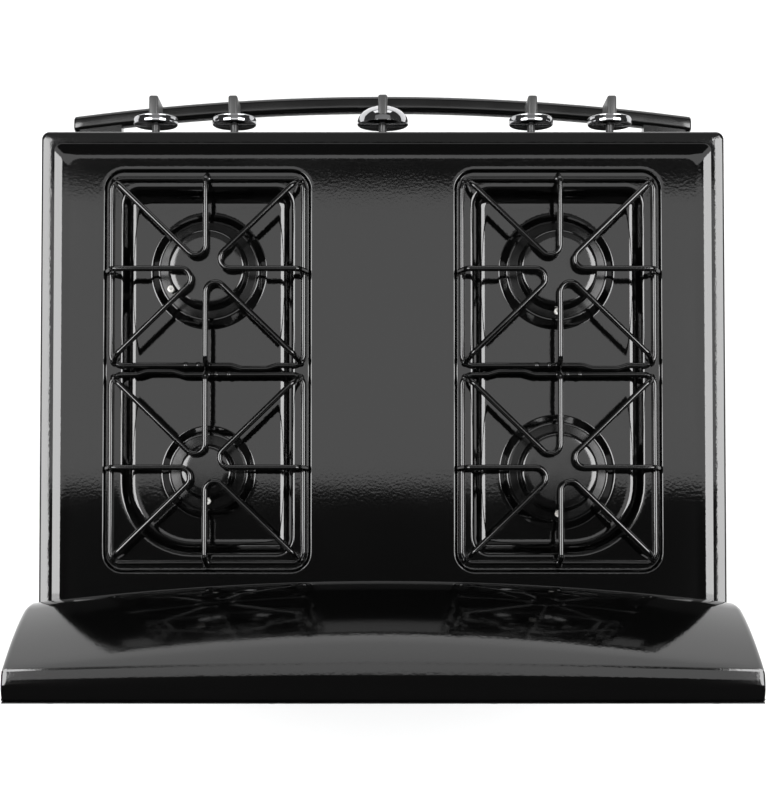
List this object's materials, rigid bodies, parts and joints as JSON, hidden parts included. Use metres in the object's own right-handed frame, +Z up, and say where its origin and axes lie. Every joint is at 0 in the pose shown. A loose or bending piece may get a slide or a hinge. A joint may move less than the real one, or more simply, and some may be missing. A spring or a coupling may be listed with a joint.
{
  "type": "freestanding gas range",
  "caption": "Freestanding household gas range with wire grates over pressed wells, front knobs, a drop-down oven door with a bowed handle, a storage drawer and a curved backguard.",
  "frame": {"origin": "on the floor under the centre of the overall box", "axes": "+Z up, front towards -Y, +X to the right seen from the front"},
  "size_m": [0.759, 0.7114, 1.141],
  "materials": {
    "porcelain": "black porcelain enamel, glossy with a faint orange peel",
    "enamelled_panels": "black enamel, glossy",
    "backguard_enamel": "black enamel, high gloss",
    "galvanised_sheet": "galvanised sheet, dull spangle",
    "oven_enamel": "dark speckled oven enamel",
    "grate_enamel": "black porcelain on steel wire",
    "cap_enamel": "black enamel, satin",
    "cast_aluminium": "cast, dull",
    "pipe_steel": "plain steel, oxidised",
    "rack_chrome": "chrome-plated wire",
    "ceramic": "glazed white ceramic",
    "blanket": "mineral wool",
    "gasket_weave": "woven glass-fibre",
    "dark_glass": "dark tinted",
    "handle_black": "black, semi-gloss",
    "knob_black": "black gloss with a bright skirt",
    "valve_brass": "machined",
    "foot_plastic": "black nylon on a steel stud",
    "screw_steel": "zinc-plated"
  },
  "bodies": {
    "cabinet": {"assembly_screws": "screw_steel", "backguard_rear_cover": "galvanised_sheet", "backguard_shell": "backguard_enamel", "base_frame": "enamelled_panels", "burner_bases": "cast_aluminium", "burner_caps": "cap_enamel", "burner_supply_tubes": "cast_aluminium", "burner_valves": "cast_aluminium", "control_panel": "enamelled_panels", "cooktop": "porcelain", "cord_gland": "galvanised_sheet", "door_gasket": "gasket_weave", "drawer_rails": "galvanised_sheet", "front_frame": "oven_enamel", "gas_manifold": "pipe_steel", "hinge_receivers": "galvanised_sheet", "left_side_panel": "enamelled_panels", "oven_burners": "pipe_steel", "oven_floor": "oven_enamel", "oven_igniters": "pipe_steel", "oven_insulation": "blanket", "oven_lamp": "dark_glass", "oven_liner": "oven_enamel", "oven_racks": "rack_chrome", "oven_sensor": "pipe_steel", "oven_thermostat": "cast_aluminium", "oven_vent_duct": "galvanised_sheet", "pressure_regulator": "cast_aluminium", "rear_panel": "galvanised_sheet", "right_side_panel": "enamelled_panels", "spark_electrodes": "ceramic", "spark_module": "galvanised_sheet"},
    "oven_door": {"door_outer_panel": "enamelled_panels", "door_window_glass": "dark_glass", "door_inner_glass": "dark_glass", "door_liner": "oven_enamel", "door_insulation": "blanket", "door_handle": "handle_black", "handle_brackets": "handle_black", "door_hinge_arms": "galvanised_sheet"},
    "storage_drawer": {"drawer_front": "enamelled_panels", "drawer_pan": "oven_enamel"},
    "grate_left_front": {"grate_left_front": "grate_enamel"},
    "grate_left_rear": {"grate_left_rear": "grate_enamel"},
    "grate_right_front": {"grate_right_front": "grate_enamel"},
    "grate_right_rear": {"grate_right_rear": "grate_enamel"},
    "levelling_foot_left_front": {"levelling_foot_left_front": "foot_plastic"},
    "levelling_foot_left_rear": {"levelling_foot_left_rear": "foot_plastic"},
    "levelling_foot_right_front": {"levelling_foot_right_front": "foot_plastic"},
    "levelling_foot_right_rear": {"levelling_foot_right_rear": "foot_plastic"},
    "valve_left_front": {"valve_plug_left_front": "valve_brass"},
    "control_left_front": {"knob_left_front": "knob_black"},
    "valve_left_rear": {"valve_plug_left_rear": "valve_brass"},
    "control_left_rear": {"knob_left_rear": "knob_black"},
    "valve_oven": {"valve_plug_oven": "valve_brass"},
    "control_oven": {"knob_oven": "knob_black"},
    "valve_right_front": {"valve_plug_right_front": "valve_brass"},
    "control_right_front": {"knob_right_front": "knob_black"},
    "valve_right_rear": {"valve_plug_right_rear": "valve_brass"},
    "control_right_rear": {"knob_right_rear": "knob_black"}
  },
  "joints": [
    {"name": "door_hinge", "type": "hinge", "parent": "cabinet", "child": "oven_door", "pos_m": [0, -0.25425, 0.31], "axis": [1, 0, 0], "range_deg": [0, 88], "stiffness_Nm_per_rad": 8, "springref_deg": -34.38},
    {"name": "drawer_slide", "type": "slide", "parent": "cabinet", "child": "storage_drawer", "axis": [0, -1, 0], "range_m": [0, 0.36]},
    {"name": "grate_left_front_lift", "type": "slide", "parent": "cabinet", "child": "grate_left_front", "axis": [0, 0, 1], "range_m": [0, 0.1]},
    {"name": "grate_left_rear_lift", "type": "slide", "parent": "cabinet", "child": "grate_left_rear", "axis": [0, 0, 1], "range_m": [0, 0.1]},
    {"name": "grate_right_front_lift", "type": "slide", "parent": "cabinet", "child": "grate_right_front", "axis": [0, 0, 1], "range_m": [0, 0.1]},
    {"name": "grate_right_rear_lift", "type": "slide", "parent": "cabinet", "child": "grate_right_rear", "axis": [0, 0, 1], "range_m": [0, 0.1]},
    {"name": "levelling_foot_left_front_screw", "type": "slide", "parent": "cabinet", "child": "levelling_foot_left_front", "axis": [0, 0, -1], "range_m": [0, 0.02]},
    {"name": "levelling_foot_left_rear_screw", "type": "slide", "parent": "cabinet", "child": "levelling_foot_left_rear", "axis": [0, 0, -1], "range_m": [0, 0.02]},
    {"name": "levelling_foot_right_front_screw", "type": "slide", "parent": "cabinet", "child": "levelling_foot_right_front", "axis": [0, 0, -1], "range_m": [0, 0.02]},
    {"name": "levelling_foot_right_rear_screw", "type": "slide", "parent": "cabinet", "child": "levelling_foot_right_rear", "axis": [0, 0, -1], "range_m": [0, 0.02]},
    {"name": "turn_left_front", "type": "hinge", "parent": "cabinet", "child": "valve_left_front", "pos_m": [-0.17, -0.252, 0.854], "axis": [0, -1, 0], "range_deg": [0, 270]},
    {"name": "push_left_front", "type": "slide", "parent": "valve_left_front", "child": "control_left_front", "axis": [0, 1, 0], "range_m": [0, 0.003], "stiffness_N_per_m": 800, "springref_m": -0.004},
    {"name": "turn_left_rear", "type": "hinge", "parent": "cabinet", "child": "valve_left_rear", "pos_m": [-0.26, -0.252, 0.854], "axis": [0, -1, 0], "range_deg": [0, 270]},
    {"name": "push_left_rear", "type": "slide", "parent": "valve_left_rear", "child": "control_left_rear", "axis": [0, 1, 0], "range_m": [0, 0.003], "stiffness_N_per_m": 800, "springref_m": -0.004},
    {"name": "turn_oven", "type": "hinge", "parent": "cabinet", "child": "valve_oven", "pos_m": [0, -0.252, 0.854], "axis": [0, -1, 0], "range_deg": [0, 300]},
    {"name": "push_oven", "type": "slide", "parent": "valve_oven", "child": "control_oven", "axis": [0, 1, 0], "range_m": [0, 0.003], "stiffness_N_per_m": 800, "springref_m": -0.004},
    {"name": "turn_right_front", "type": "hinge", "parent": "cabinet", "child": "valve_right_front", "pos_m": [0.17, -0.252, 0.854], "axis": [0, -1, 0], "range_deg": [0, 270]},
    {"name": "push_right_front", "type": "slide", "parent": "valve_right_front", "child": "control_right_front", "axis": [0, 1, 0], "range_m": [0, 0.003], "stiffness_N_per_m": 800, "springref_m": -0.004},
    {"name": "turn_right_rear", "type": "hinge", "parent": "cabinet", "child": "valve_right_rear", "pos_m": [0.26, -0.252, 0.854], "axis": [0, -1, 0], "range_deg": [0, 270]},
    {"name": "push_right_rear", "type": "slide", "parent": "valve_right_rear", "child": "control_right_rear", "axis": [0, 1, 0], "range_m": [0, 0.003], "stiffness_N_per_m": 800, "springref_m": -0.004}
  ]
}
